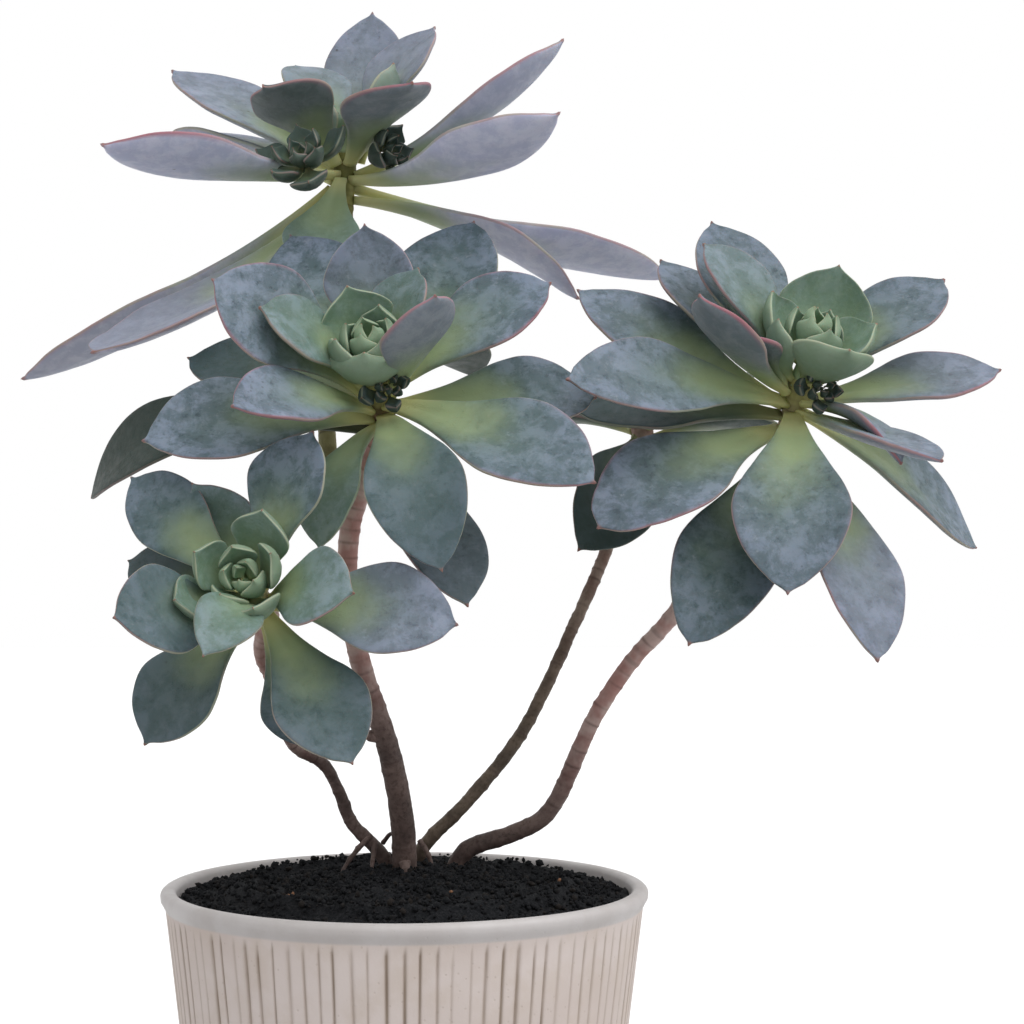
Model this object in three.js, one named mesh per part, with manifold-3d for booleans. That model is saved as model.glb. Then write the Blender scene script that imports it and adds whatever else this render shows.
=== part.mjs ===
// Potted succulent: a ribbed round pot, a mound of soil, five bare stems and the leaf rosettes on them.
// Millimetres, +Z up. The origin is the centre of the pot's flat underside; -Y is the front.
import * as THREE from "three";
import { mergeVertices } from "three/addons/utils/BufferGeometryUtils.js";
import Module from "manifold-3d";

// ---- Pot -------------------------------------------------------------------------------------
const POT_HEIGHT = 108;
const POT_RIM_RADIUS = 60;
const POT_BASE_RADIUS = 46.5;
const POT_WALL = 4;
const POT_FLOOR = 5;
const RIM_BAND_HEIGHT = 5.5;
const RIM_BAND_STEP = 0.7;
const EDGE_ROUND = 1.2;
const POT_SEGMENTS = 48;

// ---- Soil ------------------------------------------------------------------------------------
const SOIL_BELOW_RIM = 3;
const SOIL_MOUND = 5;
const GAP = 0.3;

// ---- Stems and leaves ------------------------------------------------------------------------
const STEM_SIDES = 8;
const CROWN_RADIUS = 2.9;
const LEAF_BASE_HALF_THICKNESS = 0.9;
const LEAF_CUP = 0.18;

// Along a leaf: how far along its chord, half width (of the greatest), half thickness in mm.
const LEAF_STATIONS = [
  [0.0, 0.17, 0.9],
  [0.12, 0.25, 1.15],
  [0.26, 0.4, 1.3],
  [0.4, 0.64, 1.35],
  [0.52, 0.88, 1.35],
  [0.63, 1.0, 1.3],
  [0.76, 0.9, 1.2],
  [0.87, 0.65, 1.0],
  [0.95, 0.28, 0.75],
];
// Across a leaf: upper face from one margin to the other, then the underside back again.
const LEAF_SECTION = [
  [-1, 0.35],
  [-0.55, 0.85],
  [0, 1],
  [0.55, 0.85],
  [1, 0.35],
  [1, -0.35],
  [0.55, -0.95],
  [0, -1.2],
  [-0.55, -0.95],
  [-1, -0.35],
];

// Rosettes: the crown is the growing tip of the stem, the axis the way the rosette faces.
const ROSETTES = {
  a: { crown: [-16.4, 25, 293], axis: [0.05, -0.05, 1] },
  b: { crown: [-5.5, -33, 232], axis: [-0.1, -0.66, 0.74] },
  c: { crown: [97, -8, 233], axis: [0.2, -0.45, 0.87] },
  d: { crown: [-32, -54, 182], axis: [-0.15, -0.88, 0.42] },
  e: { crown: [60.4, 45, 226], axis: [-0.1, 0, 1] },
};

// Leaves: name, mm down from the crown, turn about the axis (0 to the front, 90 to the right),
// lift above the crown's plane, length, width, bow (+ hollow, - arched over), roll. Degrees and mm.
const LEAVES = [
  ["a_top_back", 2.5, 174, 58, 50, 22, 3, 2],
  ["a_top_right", 1.5, 114, 62, 40, 25, -3, -13],
  ["a_front_left", 3, -45, 34, 29, 24, -3, -20],
  ["a_front_right", 2.5, 30, 28, 36, 25, -2, -12],
  ["a_left_up", 5, -111, 28, 54, 26, -1, 19],
  ["a_left_red", 6.5, -53, 1, 66, 25, 2, -18],
  ["a_left_back", 7.8, -123, 13, 57, 22, -3, 2],
  ["a_right_up", 5.5, 83, 35, 62, 19, 4, 11],
  ["a_right_mid", 7.5, 58, 15, 62, 24, 5, 17],
  ["a_right_long", 9.5, 124, -9, 104, 28, 2, 12],
  ["a_left_long", 10.5, -99, -33, 96, 27, 5, -10],
  ["a_left_square", 13, -50, -32, 80, 29, 5, 1],
  ["a_front_low", 8.4, -12, -50, 32, 20, 0, 4],
  ["a_right_low", 12.5, 94, -21, 62, 27, -5, 8],
  ["b_back", 2, 177, 38, 36, 22, 4, -2],
  ["b_back_left", 6, -162, 10, 56, 27, 1, 4],
  ["b_back_right", 8.5, 153, 10, 58, 27, 1, -3],
  ["b_left_up", 4, -102, 47, 44, 26, -2, 20],
  ["b_right_up", 4.5, 107, 19, 44, 24, -2, -4],
  ["b_front_left", 7.5, -50, 34, 44, 19, -3, 17],
  ["b_left_broad", 11.5, -80, 10, 53, 28, -3, 6],
  ["b_left_dark", 8.5, -118, 3, 48, 22, -1, 0],
  ["b_left_far", 16.5, -105, -19, 80, 20, -19, 18],
  ["b_front_low_left", 12.5, -28, -16, 35, 17, -5, -14],
  ["b_front_low", 10, 11, -7, 50, 23, -10, -3],
  ["b_right_low", 7.5, 47, 3, 60, 26, -3, -1],
  ["b_right_mid", 10, 88, -5, 47, 25, -1, -5],
  ["b_low_back", 14, 16, -18, 51, 22, 0, 22],
  ["c_back_left", 3, -141, 30, 48, 26, 0, 3],
  ["c_right_back", 3, 133, 33, 46, 25, -1, 6],
  ["c_left_red", 3.5, -63, 39, 38, 21, 2, -22],
  ["c_right", 6, 107, 16, 49, 22, 0, -4],
  ["c_right_low", 10, 105, -30, 63, 26, -3, -13],
  ["c_front_low", 9, 4, -20, 58, 28, -6, -12],
  ["c_left_low", 14, -40, -13, 62, 27, -4, 5],
  ["c_left", 6.5, -59, 6, 62, 23, -3, 23],
  ["c_left_back", 8.5, -114, 7, 60, 24, 1, 14],
  ["c_left_dark", 10.8, -76, -7, 50, 23, -2, 9],
  ["c_low_left", 18, -14, -27, 64, 25, -4, 6],
  ["c_low_right", 15.5, 24, -20, 68, 25, -4, 11],
  ["c_back_far", 5.5, -133, 15, 51, 22, 0, -3],
  ["d_left", 3.5, -77, 48, 36, 22, -1, 13],
  ["d_back_left", 6.5, -154, 4, 42, 18, -3, 8],
  ["d_back_right", 3, 139, 20, 36, 23, -2, 20],
  ["d_right", 5, 60, 4, 44, 22, -4, 0],
  ["d_front", 6, 12, 2, 43, 22, -1, 16],
  ["d_down_left", 6.5, -57, -5, 37, 24, -2, -14],
  ["e_down", 7, -27, -32, 50, 23, -7, 58],
];

// Stems: the way each one wanders from the soil (or the fork) up to its crown, and its radii.
const STEMS = [
  {
    name: "stem_b",
    crown: "b",
    radii: [3.2, 3.1, 3.0, 2.7, 2.5, 2.5, 2.4],
    path: [
      [0, 8, 92],
      [-0.5, 8, 110],
      [-1, 4, 124],
      [-4.5, -4, 144],
      [-10, -10, 162],
      [-13, -14, 179],
      [-12.5, -16, 197],
    ],
  },
  {
    name: "stem_a",
    crown: "a",
    radii: [2.0, 2.1, 2.3, 2.3],
    path: [
      [-14.4, -11.2, 201],
      [-17.5, -5, 207],
      [-20, 6, 228],
      [-18, 17, 254],
    ],
  },
  {
    name: "stem_c",
    crown: "c",
    radii: [2.4, 2.3, 2.2, 2.1, 2.0, 2.0, 2.0, 2.1],
    path: [
      [9, 22, 94],
      [14, 20, 113],
      [26, 19, 118],
      [35, 18, 123],
      [47, 12, 148],
      [56, 10, 162],
      [67, 6, 175],
      [81, 4, 198],
    ],
  },
  {
    name: "stem_d",
    crown: "d",
    radii: [1.9, 1.8, 1.6, 1.5, 1.5, 1.4, 1.4, 1.5],
    path: [
      [-4, 14, 94],
      [-5.5, 12, 112],
      [-14, 11, 122],
      [-17, 9, 130],
      [-20.5, 6, 137],
      [-27.5, -4, 143],
      [-28.5, -18, 155],
      [-32.5, -32, 167],
    ],
  },
  {
    name: "stem_e",
    crown: "e",
    radii: [1.9, 1.8, 1.7, 1.6, 1.6, 1.6, 1.6],
    path: [
      [-1, 22, 94],
      [2, 18, 112],
      [15.5, 18, 127],
      [28.5, 22, 143],
      [43, 30, 172],
      [51, 36, 190],
      [57, 41, 208],
    ],
  },
];

// Hearts: the closed bud of young leaves on a crown, its width and height.
const BUDS = [
  ["a", 7, 10],
  ["b", 12, 12],
  ["c", 12, 12],
  ["d", 11, 11],
];

// A small rosette that sprouts on a short side shoot just under the highest crown.
const OFFSET = { crown: [-24.5, 7, 286], axis: [-0.3, -0.6, 0.7] };
const OFFSET_WIDTH = 8;
const OFFSET_HEIGHT = 9;

const COLOURS = {
  pot: 0xd9d0c8,
  soil: 0x1d2023,
  stem: 0x6a4a44,
  leaf: 0x6f7f88,
  heart: 0x86a187,
};

const wasm = await Module();
wasm.setup();
const { Manifold, Mesh } = wasm;

const group = new THREE.Group();

function addMesh(name, geometry, colour, roughness) {
  geometry.computeVertexNormals();
  const material = new THREE.MeshStandardMaterial({ color: colour, roughness, metalness: 0 });
  const mesh = new THREE.Mesh(geometry, material);
  mesh.name = name;
  group.add(mesh);
}

// A closed body from a row of equal rings and a point at each end.
function ringBody(startPoint, rings, endPoint) {
  const sides = rings[0].length;
  const points = [startPoint, ...rings.flat(), endPoint];
  const last = points.length - 1;
  const at = (ring, side) => 1 + ring * sides + (side % sides);
  const faces = [];
  for (let side = 0; side < sides; side += 1) {
    faces.push(0, at(0, side + 1), at(0, side));
    faces.push(last, at(rings.length - 1, side), at(rings.length - 1, side + 1));
    for (let ring = 0; ring + 1 < rings.length; ring += 1) {
      faces.push(at(ring, side), at(ring, side + 1), at(ring + 1, side + 1));
      faces.push(at(ring, side), at(ring + 1, side + 1), at(ring + 1, side));
    }
  }
  const geometry = new THREE.BufferGeometry().setFromPoints(points);
  geometry.setIndex(faces);
  return geometry;
}

// The three directions of a rosette: right, back and the axis itself.
function rosetteFrame({ crown, axis }) {
  const up = new THREE.Vector3(...axis).normalize();
  const back = new THREE.Vector3(0, 1, 0).addScaledVector(up, -up.y).normalize();
  const right = new THREE.Vector3().crossVectors(back, up);
  return { centre: new THREE.Vector3(...crown), right, back, up };
}

function leafGeometry(rosette, down, turn, lift, length, width, bow, roll) {
  const { centre, right, back, up } = rosetteFrame(rosette);
  const turnAngle = THREE.MathUtils.degToRad(turn);
  const liftAngle = THREE.MathUtils.degToRad(lift);
  const outward = right.clone().multiplyScalar(Math.sin(turnAngle));
  outward.addScaledVector(back, -Math.cos(turnAngle));
  const along = outward.clone().multiplyScalar(Math.cos(liftAngle));
  along.addScaledVector(up, Math.sin(liftAngle));
  const face = up.clone().multiplyScalar(Math.cos(liftAngle));
  face.addScaledVector(outward, -Math.sin(liftAngle));
  face.applyAxisAngle(along, THREE.MathUtils.degToRad(-roll));
  const across = new THREE.Vector3().crossVectors(along, face);
  const reach = CROWN_RADIUS + GAP + GAP + LEAF_BASE_HALF_THICKNESS * Math.abs(Math.sin(liftAngle));
  const base = centre.clone().addScaledVector(up, -down).addScaledVector(outward, reach);

  const middle = (t) =>
    base
      .clone()
      .addScaledVector(along, length * t)
      .addScaledVector(face, -bow * 4 * t * (1 - t));
  const rings = LEAF_STATIONS.map(([t, widthShare, halfThickness]) => {
    const halfWidth = (width / 2) * widthShare;
    const tangent = along.clone().multiplyScalar(length);
    tangent.addScaledVector(face, -bow * 4 * (1 - 2 * t)).normalize();
    const normal = face.clone().addScaledVector(tangent, -face.dot(tangent)).normalize();
    return LEAF_SECTION.map(([side, rise]) =>
      middle(t)
        .addScaledVector(across, side * halfWidth)
        .addScaledVector(normal, LEAF_CUP * halfWidth * side * side + rise * halfThickness),
    );
  });
  const tip = middle(1).addScaledVector(face, 0.3);
  return ringBody(base.clone().addScaledVector(along, -GAP), rings, tip);
}

// A round stem that follows a smooth line up to its crown, made wider all round by the sleeve.
function stemGeometry({ crown, radii, path }, sleeve) {
  const { centre, up } = rosetteFrame(ROSETTES[crown]);
  const points = path.map((p) => new THREE.Vector3(...p));
  points.push(centre.clone().addScaledVector(up, -14), centre);
  const curve = new THREE.CatmullRomCurve3(points, false, "centripetal");
  const steps = 5 * points.length;
  const spread = [...radii, CROWN_RADIUS * 0.9, CROWN_RADIUS];
  const frames = curve.computeFrenetFrames(steps, false);
  const rings = [];
  for (let step = 0; step <= steps; step += 1) {
    const place = (step / steps) * (spread.length - 1);
    const before = Math.min(Math.floor(place), spread.length - 2);
    const radius = sleeve + THREE.MathUtils.lerp(spread[before], spread[before + 1], place - before);
    const middle = curve.getPoint(step / steps);
    const ring = [];
    for (let side = 0; side < STEM_SIDES; side += 1) {
      const angle = (2 * Math.PI * side) / STEM_SIDES;
      ring.push(
        middle
          .clone()
          .addScaledVector(frames.normals[step], radius * Math.cos(angle))
          .addScaledVector(frames.binormals[step], radius * Math.sin(angle)),
      );
    }
    rings.push(ring);
  }
  const start = points[0].clone().addScaledVector(frames.tangents[0], -1 - sleeve);
  const end = centre.clone().addScaledVector(frames.tangents[steps], 0.6);
  return ringBody(start, rings, end);
}

// A bud: a closed ovoid of folded young leaves that stands on a crown.
function budGeometry(rosette, width, height) {
  const { centre, right, back, up } = rosetteFrame(rosette);
  const outline = [
    [0.08, 0.4],
    [0.28, 0.88],
    [0.52, 1.0],
    [0.76, 0.78],
    [0.93, 0.4],
  ];
  const rings = outline.map(([rise, share]) => {
    const ring = [];
    for (let side = 0; side < 10; side += 1) {
      const angle = (2 * Math.PI * side) / 10;
      ring.push(
        centre
          .clone()
          .addScaledVector(up, 3 * GAP + rise * height)
          .addScaledVector(right, (width / 2) * share * Math.cos(angle))
          .addScaledVector(back, (width / 2) * share * Math.sin(angle)),
      );
    }
    return ring;
  });
  const foot = centre.clone().addScaledVector(up, 3 * GAP);
  const tip = centre.clone().addScaledVector(up, 3 * GAP + height);
  return ringBody(foot, rings, tip);
}

// The pot's outer wall leans out evenly from the base to the rim.
function outerRadius(height) {
  return THREE.MathUtils.lerp(POT_BASE_RADIUS, POT_RIM_RADIUS - RIM_BAND_STEP, height / POT_HEIGHT);
}

function innerRadius(height) {
  return outerRadius(height) - POT_WALL + RIM_BAND_STEP;
}

// A turned body: [radius, height] pairs from the axis, round the outside and back to the axis.
function turned(profile) {
  const outline = profile.map(([radius, height]) => new THREE.Vector2(radius, height));
  return new THREE.LatheGeometry(outline, POT_SEGMENTS).rotateX(Math.PI / 2);
}

function potGeometry() {
  const bandFoot = POT_HEIGHT - RIM_BAND_HEIGHT;
  return turned([
    [0, 0],
    [POT_BASE_RADIUS - EDGE_ROUND, 0],
    [POT_BASE_RADIUS - 0.2, 0.4 * EDGE_ROUND],
    [outerRadius(2 * EDGE_ROUND), 2 * EDGE_ROUND],
    [outerRadius(bandFoot), bandFoot],
    [outerRadius(bandFoot) + RIM_BAND_STEP, bandFoot + RIM_BAND_STEP],
    [POT_RIM_RADIUS, POT_HEIGHT - EDGE_ROUND],
    [POT_RIM_RADIUS - 0.35 * EDGE_ROUND, POT_HEIGHT - 0.35 * EDGE_ROUND],
    [POT_RIM_RADIUS - EDGE_ROUND, POT_HEIGHT],
    [innerRadius(POT_HEIGHT) + EDGE_ROUND, POT_HEIGHT],
    [innerRadius(POT_HEIGHT) + 0.35 * EDGE_ROUND, POT_HEIGHT - 0.35 * EDGE_ROUND],
    [innerRadius(POT_HEIGHT - EDGE_ROUND), POT_HEIGHT - EDGE_ROUND],
    [innerRadius(POT_FLOOR + 2), POT_FLOOR + 2],
    [innerRadius(POT_FLOOR) - 2, POT_FLOOR],
    [0, POT_FLOOR],
  ]);
}

// The soil fills the pot to just under its rim and rises in a low mound round the stems.
function soilGeometry() {
  const wallTop = POT_HEIGHT - SOIL_BELOW_RIM;
  const floor = POT_FLOOR + GAP;
  const edge = innerRadius(wallTop) - GAP;
  const profile = [
    [0, floor],
    [innerRadius(floor) - 3, floor],
    [innerRadius(floor + 3) - GAP, floor + 3],
    [edge, wallTop],
  ];
  for (const share of [0.85, 0.65, 0.45, 0.25]) {
    const rise = SOIL_MOUND * Math.cos((share * Math.PI) / 2) ** 1.4;
    profile.push([edge * share, wallTop + rise]);
  }
  profile.push([0, wallTop + SOIL_MOUND]);
  return turned(profile);
}

function toSolid(geometry) {
  const bare = new THREE.BufferGeometry();
  bare.setAttribute("position", geometry.getAttribute("position"));
  bare.setIndex(geometry.index);
  const merged = mergeVertices(bare, 1e-3);
  const vertProperties = merged.getAttribute("position").array;
  const triVerts = new Uint32Array(merged.index.array);
  return new Manifold(new Mesh({ numProp: 3, vertProperties, triVerts }));
}

function fromSolid(solid) {
  const mesh = solid.getMesh();
  const geometry = new THREE.BufferGeometry();
  geometry.setAttribute("position", new THREE.BufferAttribute(mesh.vertProperties, 3));
  geometry.setIndex(new THREE.BufferAttribute(mesh.triVerts, 1));
  return geometry;
}

addMesh("pot", potGeometry(), COLOURS.pot, 0.75);

let soil = toSolid(soilGeometry());
for (const stem of STEMS) {
  if (stem.path[0][2] < POT_HEIGHT) soil = soil.subtract(toSolid(stemGeometry(stem, GAP)));
}
addMesh("soil", fromSolid(soil), COLOURS.soil, 0.95);

for (const stem of STEMS) addMesh(stem.name, stemGeometry(stem, 0), COLOURS.stem, 0.8);

for (const [name, ...shape] of LEAVES) {
  addMesh(`leaf_${name}`, leafGeometry(ROSETTES[name[0]], ...shape), COLOURS.leaf, 0.6);
}

for (const [name, width, height] of BUDS) {
  addMesh(`bud_${name}`, budGeometry(ROSETTES[name], width, height), COLOURS.heart, 0.6);
}
addMesh("offset_a", budGeometry(OFFSET, OFFSET_WIDTH, OFFSET_HEIGHT), COLOURS.leaf, 0.6);

export default group;
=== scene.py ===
"""Potted succulent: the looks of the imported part. Metres, +Z up, -Y to the front, as in the CAD frame."""

import math
import random

import bmesh
import bpy
import numpy as np
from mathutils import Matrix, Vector, noise


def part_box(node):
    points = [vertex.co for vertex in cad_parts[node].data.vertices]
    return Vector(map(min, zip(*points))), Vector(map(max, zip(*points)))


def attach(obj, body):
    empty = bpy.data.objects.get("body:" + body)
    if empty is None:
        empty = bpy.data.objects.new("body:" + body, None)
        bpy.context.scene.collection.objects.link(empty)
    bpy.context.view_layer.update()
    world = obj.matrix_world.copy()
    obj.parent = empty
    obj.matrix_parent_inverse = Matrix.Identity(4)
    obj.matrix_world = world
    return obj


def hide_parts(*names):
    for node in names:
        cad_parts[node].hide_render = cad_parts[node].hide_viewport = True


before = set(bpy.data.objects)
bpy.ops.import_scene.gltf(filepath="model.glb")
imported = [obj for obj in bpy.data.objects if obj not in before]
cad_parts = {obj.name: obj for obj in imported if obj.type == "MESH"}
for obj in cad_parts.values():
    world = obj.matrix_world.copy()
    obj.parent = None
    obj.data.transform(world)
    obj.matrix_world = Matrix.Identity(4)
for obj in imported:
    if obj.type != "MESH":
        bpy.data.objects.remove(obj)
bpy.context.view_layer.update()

MM = 0.001
GOLDEN = 137.5  # degrees from one leaf of a spiral to the next


# ---- small maths ---------------------------------------------------------------------------------
def unit(v):
    return v / (np.linalg.norm(v) + 1e-12)


def smooth(lo, hi, x):
    t = np.clip((x - lo) / (hi - lo), 0, 1)
    return t * t * (3 - 2 * t)


def spline(x, y, at):
    """A smooth curve through the points y at x, read at the places at."""
    x, y, at = np.asarray(x, float), np.asarray(y, float), np.asarray(at, float)
    flat = y.reshape(len(x), -1)
    slope = np.gradient(flat, x, axis=0)
    k = np.clip(np.searchsorted(x, at) - 1, 0, len(x) - 2)
    h = (x[k + 1] - x[k])[:, None]
    t = ((at - x[k]) / (x[k + 1] - x[k]))[:, None]
    a = (1 + 2 * t) * (1 - t) ** 2 * flat[k] + t * (1 - t) ** 2 * h * slope[k]
    b = t * t * (3 - 2 * t) * flat[k + 1] + t * t * (t - 1) * h * slope[k + 1]
    return (a + b).reshape((len(at),) + y.shape[1:])


def wobble(p, scale, seed=0.0):
    """Smooth noise from about -1 to 1 at each row of p."""
    return np.array([noise.noise(Vector(q) * scale + Vector((seed, -seed, 2 * seed))) for q in p])


# ---- reading a CAD solid back as rings -----------------------------------------------------------
SAME_POINT = 5e-6  # vertices closer than this are one point


def ring_body(node, near):
    """The foot point, the rings in order and the end point of a ringed CAD solid.

    The foot is the end that lies closer to the point near.
    """
    bm = bmesh.new()
    bm.from_mesh(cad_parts[node].data)
    bmesh.ops.remove_doubles(bm, verts=bm.verts, dist=SAME_POINT)
    poles = sorted(bm.verts, key=lambda v: -len(v.link_edges))[:2]
    foot, tip = sorted(poles, key=lambda v: (v.co - Vector(near)).length)
    layer = {foot: -1}
    rings = []
    front = [foot]
    while True:
        found = {e.other_vert(v) for v in front for e in v.link_edges} - set(layer) - {tip}
        if not found:
            break
        for v in found:
            layer[v] = len(rings)
        rings.append(found)
        front = found
    after = {}
    for face in bm.faces:
        vs = list(face.verts)
        levels = [layer.get(v, len(rings)) for v in vs]
        for i in range(3):
            a, b, c = vs[i], vs[(i + 1) % 3], vs[(i + 2) % 3]
            if levels[i] == levels[(i + 1) % 3] == levels[(i + 2) % 3] + 1:
                after[a] = b
    ordered = []
    start = min(rings[0], key=lambda v: tuple(round(c, 6) for c in v.co))
    for k, ring in enumerate(rings):
        if k:
            pair = [e.other_vert(start) for e in start.link_edges if e.other_vert(start) in ring]
            start = pair[1] if after[pair[0]] == pair[1] else pair[0]
        row, v = [], start
        for _ in ring:
            row.append(list(v.co))
            v = after[v]
        ordered.append(row)
    ends = np.array(foot.co), np.array(tip.co)
    bm.free()
    return ends[0], np.array(ordered), ends[1]


# a CAD leaf's ring has five points across its upper face, then five back across its lower one
TOP, LOW = 2, 7
HALF_RING = 5
# the lower face stands off the leaf's middle line this many times as far as the upper one
LOW_BULGE = 1.2


def side_lines(rings):
    """The two margins of a leaf: the middle of each side of its rings."""
    return (rings[:, 0] + rings[:, 9]) / 2, (rings[:, 4] + rings[:, 5]) / 2


def leaf_lines(node, crown):
    """A CAD leaf as its foot, its tip and lines between them, with one row for each of its rings.

    The lines are the leaf's middle, the directions across it and out of its upper face, its half width,
    its half thickness, and its cup: how far the margins stand up, as a share of the half width.
    """
    foot, rings, tip = ring_body(node, crown)
    widest = max(range(len(rings)), key=lambda k: np.ptp(np.linalg.norm(rings[k] - rings[k].mean(0), axis=1)))
    edges = np.linalg.norm(rings[widest] - np.roll(rings[widest], -1, axis=0), axis=1)
    short = min(range(HALF_RING), key=lambda i: edges[i] + edges[i + HALF_RING])
    rings = np.roll(rings, -(short + 1), axis=1)
    left, right = side_lines(rings)
    upward = (rings[:, TOP] - rings[:, LOW])[widest]
    lean = ((left + right) / 2 - (rings[:, TOP] + rings[:, LOW]) / 2)[widest] @ upward
    if lean < 0:
        rings = np.roll(rings, HALF_RING, axis=1)
        left, right = side_lines(rings)
    top, low = rings[:, TOP], rings[:, LOW]
    middle = (LOW_BULGE * top + low) / (1 + LOW_BULGE)
    thick = np.linalg.norm(top - low, axis=1)
    face = (top - low) / thick[:, None]
    half = np.linalg.norm(right - left, axis=1) / 2
    across = (right - left) / (2 * half[:, None])
    cup = np.einsum("ij,ij->i", (left + right) / 2 - middle, face) / half
    return foot, tip, middle, across, face, half, thick / (1 + LOW_BULGE), cup


# a full-grown leaf at nine shares of its length: share of its width, and half thickness in millimetres
STATIONS = np.array([0, 0.12, 0.26, 0.4, 0.52, 0.63, 0.76, 0.87, 0.95])
SHARES = np.array([0.17, 0.25, 0.4, 0.64, 0.88, 1, 0.9, 0.65, 0.28])
THICKS = np.array([0.9, 1.15, 1.3, 1.35, 1.35, 1.3, 1.2, 1.0, 0.75])


def grown_lines(
    crown, axis, down, turn, lift, length, width, bow=0.0, roll=0.0, thick=1.0, reach=3.5, cup=0.18, broad=0.0
):
    """The same for a leaf that has no CAD solid of its own: millimetres, and degrees about a rosette's axis.

    Its foot is down from the crown and reach out from the axis. Turn 0 is the front, and lift 90 is upright.
    """
    up = unit(axis)
    back = unit(np.array([0, 1, 0]) - up[1] * up)
    right = np.cross(back, up)
    a, b, c = math.radians(turn), math.radians(lift), math.radians(roll)
    outward = math.sin(a) * right - math.cos(a) * back
    along = math.cos(b) * outward + math.sin(b) * up
    face = math.cos(b) * up - math.sin(b) * outward
    side = np.cross(face, along)
    face = math.cos(c) * face + math.sin(c) * side
    clear = 0.9 * abs(math.sin(b)) * min(1, thick)
    base = crown + MM * (-down * up + (reach + clear) * outward)

    def line(share):
        return base + MM * (length * share * along - bow * 4 * share * (1 - share) * face)

    t = STATIONS[:, None]
    tangent = length * along - bow * 4 * (1 - 2 * t) * face
    tangent /= np.linalg.norm(tangent, axis=1, keepdims=True)
    normal = face - (tangent @ face)[:, None] * tangent
    normal /= np.linalg.norm(normal, axis=1, keepdims=True)
    across = np.cross(tangent, normal)
    shares = SHARES + broad * np.sin(math.pi * STATIONS) * (1 - SHARES)
    half = MM * width / 2 * shares
    return line(0), line(1.0), line(t), across, normal, half, MM * thick * THICKS, np.full(len(STATIONS), cup)


# ---- leaf surfaces -------------------------------------------------------------------------------
def tube_faces(rows, around, flip=False):
    """The faces of a closed tube: rows of points, then the point that closes the first row and the last."""
    faces = []
    for k in range(rows - 1):
        for i in range(around):
            j = (i + 1) % around
            faces.append((k * around + i, (k + 1) * around + i, (k + 1) * around + j, k * around + j))
    first, last, last_row = rows * around, rows * around + 1, (rows - 1) * around
    for i in range(around):
        j = (i + 1) % around
        faces.append((first, i, j))
        faces.append((last, last_row + j, last_row + i))
    return [(face[0], *face[:0:-1]) for face in faces] if flip else faces


def line_noise(x, scale, seed):
    """Smooth noise along one line."""
    return wobble(np.stack([x, x * 0, x * 0], 1), scale, seed)


def with_ends(line, end):
    """A line of values at a leaf's stations with its first one repeated at the foot and end at the tip."""
    return np.concatenate([line[:1], line, end])


SHOULDER = 8  # the place, counted from the foot, where a blunt leaf begins to round off
ROUND_END = 0.985  # the share of the length where that round end would close
TIP_MM = 0.6  # how far the small point at the tip stands out
TIP_WIDTH = 0.75  # its half width in millimetres on a full-grown leaf, 18 mm wide or more
TIP_FROM = 0.9  # the share of the length where it may begin
GROWN_HALF = 9 * MM


def half_widths(s, reach, reach_mm, half, blunt, spike):
    """A leaf's half width at the shares s: blunt rounds its shoulders and spike is the point at its tip."""
    known = with_ends(half, [0.0])
    wide = spline(reach, known, s)
    shoulder = reach[SHOULDER]
    bulge = known[SHOULDER] * np.sqrt(np.clip(1 - ((s - shoulder) / (ROUND_END - shoulder)) ** 2, 0, 1))
    wide = np.where(s > shoulder, blunt * bulge + (1 - blunt) * wide, wide)
    to_end = (1 - s) * reach_mm
    wide = wide * (0.3 + 0.7 * smooth(0.1, 3.2, to_end))
    size = np.clip(half.max() / GROWN_HALF, 0.4, 1)
    point = spike * TIP_WIDTH * MM * np.clip(to_end / 1.6, 0, 1) ** 0.8 * size
    return np.maximum(wide, np.where(s > TIP_FROM, point, 0))


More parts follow.
